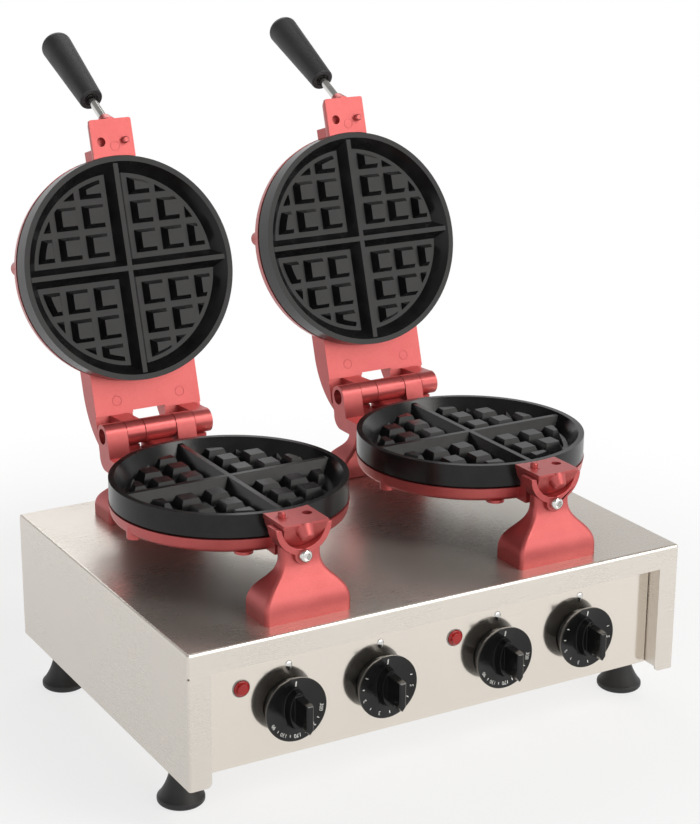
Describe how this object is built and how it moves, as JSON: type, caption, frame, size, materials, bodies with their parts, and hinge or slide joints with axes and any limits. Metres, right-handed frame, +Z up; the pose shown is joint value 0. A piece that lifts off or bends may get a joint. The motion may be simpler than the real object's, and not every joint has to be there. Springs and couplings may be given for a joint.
{
  "type": "double waffle maker",
  "caption": "Countertop waffle maker: two hinged round irons with handles, standing side by side on a sheet-metal cabinet with control knobs and pilot lamps",
  "frame": {"origin": "middle of the overall outline on the counter, between the feet", "axes": "+X to the right and +Y to the back as the user sees it, +Z up; the irons are stored open"},
  "size_m": [0.486, 0.5412, 0.5696],
  "materials": {
    "stainless_sheet": "brushed",
    "coral_enamel": "satin metallic paint",
    "non_stick_coating": "black non-stick coating",
    "chrome_steel": "polished",
    "element_steel": "satin",
    "black_rubber": "matte",
    "knob_black": "gloss",
    "grip_black": "matte",
    "lamp_red": "translucent red",
    "black_plastic": "matte",
    "white_plastic": "matte"
  },
  "bodies": {
    "base": {"body_shell": "stainless_sheet", "bottom_plate": "stainless_sheet", "cable_gland": "black_plastic", "clip_screws": "chrome_steel", "foot_front_left": "black_rubber", "foot_front_right": "black_rubber", "foot_rear_left": "black_rubber", "foot_rear_right": "black_rubber", "foot_screws": "chrome_steel", "front_panel": "stainless_sheet", "front_stand_left": "coral_enamel", "front_stand_right": "coral_enamel", "hinge_pin_left": "chrome_steel", "hinge_pin_right": "chrome_steel", "hinge_spacer_left": "chrome_steel", "hinge_spacer_right": "chrome_steel", "lower_casting_left": "coral_enamel", "lower_casting_right": "coral_enamel", "lower_element_left": "element_steel", "lower_element_right": "element_steel", "lower_plate_left": "non_stick_coating", "lower_plate_right": "non_stick_coating", "lower_plate_screws": "chrome_steel", "panel_screws": "chrome_steel", "pilot_body_left": "black_plastic", "pilot_body_right": "black_plastic", "pilot_lens_left": "lamp_red", "pilot_lens_right": "lamp_red", "rear_panel": "stainless_sheet", "rear_stand_left": "coral_enamel", "rear_stand_right": "coral_enamel", "stand_bolts": "chrome_steel", "stand_clip_left": "coral_enamel", "stand_clip_right": "coral_enamel", "terminal_block": "white_plastic", "thermostat_left": "element_steel", "thermostat_right": "element_steel", "timer_left": "black_plastic", "timer_right": "black_plastic"},
    "lid_left": {"upper_casting_left": "coral_enamel", "upper_plate_left": "non_stick_coating", "upper_element_left": "element_steel", "upper_plate_screws_left": "chrome_steel", "handle_rod_left": "chrome_steel", "handle_grip_left": "grip_black"},
    "thermostat_dial_left": {"thermostat_knob_left": "knob_black", "thermostat_spindle_left": "element_steel"},
    "timer_dial_left": {"timer_knob_left": "knob_black", "timer_spindle_left": "element_steel"},
    "lid_right": {"upper_casting_right": "coral_enamel", "upper_plate_right": "non_stick_coating", "upper_element_right": "element_steel", "upper_plate_screws_right": "chrome_steel", "handle_rod_right": "chrome_steel", "handle_grip_right": "grip_black"},
    "thermostat_dial_right": {"thermostat_knob_right": "knob_black", "thermostat_spindle_right": "element_steel"},
    "timer_dial_right": {"timer_knob_right": "knob_black", "timer_spindle_right": "element_steel"}
  },
  "joints": [
    {"name": "lid_hinge_left", "type": "hinge", "parent": "base", "child": "lid_left", "pos_m": [-0.1225, 0.0569, 0.2327], "axis": [1, 0, 0], "range_deg": [0, 106.5]},
    {"name": "lid_hinge_right", "type": "hinge", "parent": "base", "child": "lid_right", "pos_m": [0.1225, 0.0569, 0.2327], "axis": [1, 0, 0], "range_deg": [0, 106.5]},
    {"name": "thermostat_turn_left", "type": "hinge", "parent": "base", "child": "thermostat_dial_left", "pos_m": [-0.1434, -0.2441, 0.0853], "axis": [0, 1, 0], "range_deg": [0, 270]},
    {"name": "timer_turn_left", "type": "hinge", "parent": "base", "child": "timer_dial_left", "pos_m": [-0.0575, -0.2441, 0.0853], "axis": [0, 1, 0], "range_deg": [0, 300]},
    {"name": "thermostat_turn_right", "type": "hinge", "parent": "base", "child": "thermostat_dial_right", "pos_m": [0.0583, -0.2441, 0.0853], "axis": [0, 1, 0], "range_deg": [0, 270]},
    {"name": "timer_turn_right", "type": "hinge", "parent": "base", "child": "timer_dial_right", "pos_m": [0.1442, -0.2441, 0.0853], "axis": [0, 1, 0], "range_deg": [0, 300]}
  ]
}
